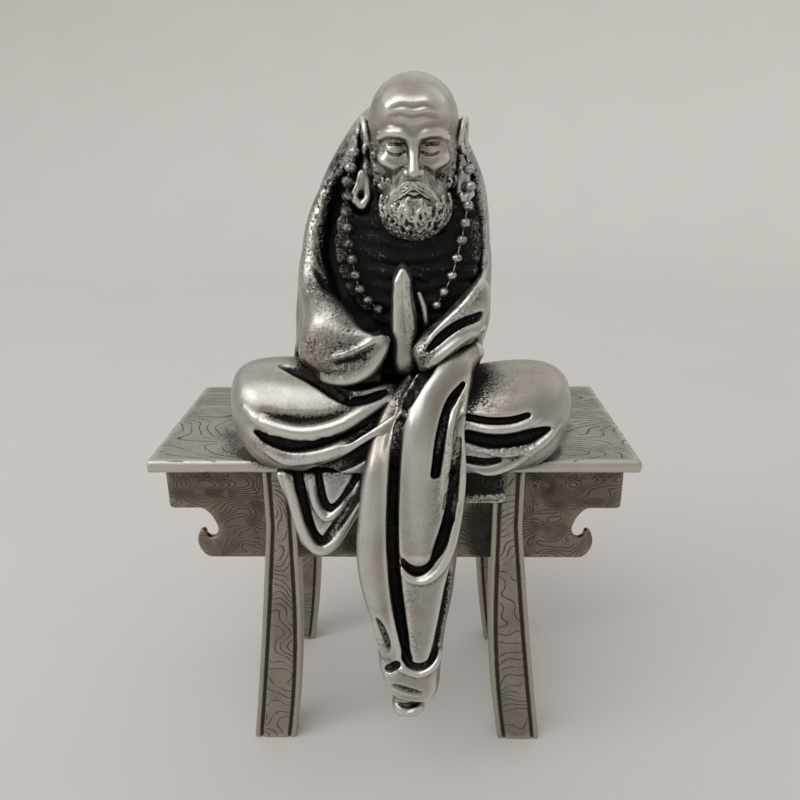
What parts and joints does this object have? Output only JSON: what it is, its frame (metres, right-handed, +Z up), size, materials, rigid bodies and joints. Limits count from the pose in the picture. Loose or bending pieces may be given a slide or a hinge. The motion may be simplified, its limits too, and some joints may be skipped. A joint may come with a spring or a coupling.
{
  "type": "desk figure on a bench",
  "caption": "Cast-metal bearded figure in a heavy cloak, seated cross-legged with one raised hand on the front of a low recessed-leg bench.",
  "frame": {"origin": "on the surface that the bench stands on, under the middle of the whole object", "axes": "+X to the viewer's right along the bench, +Y away from the viewer, +Z up"},
  "size_m": [0.103, 0.0612, 0.1495],
  "materials": {
    "robe": "satin cast metal, silvered on the high folds and blackened in the recesses",
    "skin": "polished silvery cast metal with dark patina in the creases",
    "beard": "rough curled cast relief with black patina",
    "beads": "dark patina with worn silvery tops",
    "bench": "dull grey-brown metal, engraved all over with wood-grain lines",
    "screw": "plain steel"
  },
  "bodies": {
    "root": {"bench_top": "bench", "front_apron": "bench", "rear_apron": "bench", "front_left_leg": "bench", "front_right_leg": "bench", "rear_left_leg": "bench", "rear_right_leg": "bench", "figure_screws": "screw", "lap": "robe", "cloak": "robe", "inner_robe": "robe", "left_sleeve": "robe", "right_sleeve": "robe", "front_drape": "robe", "side_fold": "robe", "hem_tab": "robe", "head": "skin", "beard": "beard", "left_ear": "skin", "right_ear": "skin", "praying_hand": "skin", "prayer_beads": "beads", "shoe": "robe"}
  },
  "joints": []
}
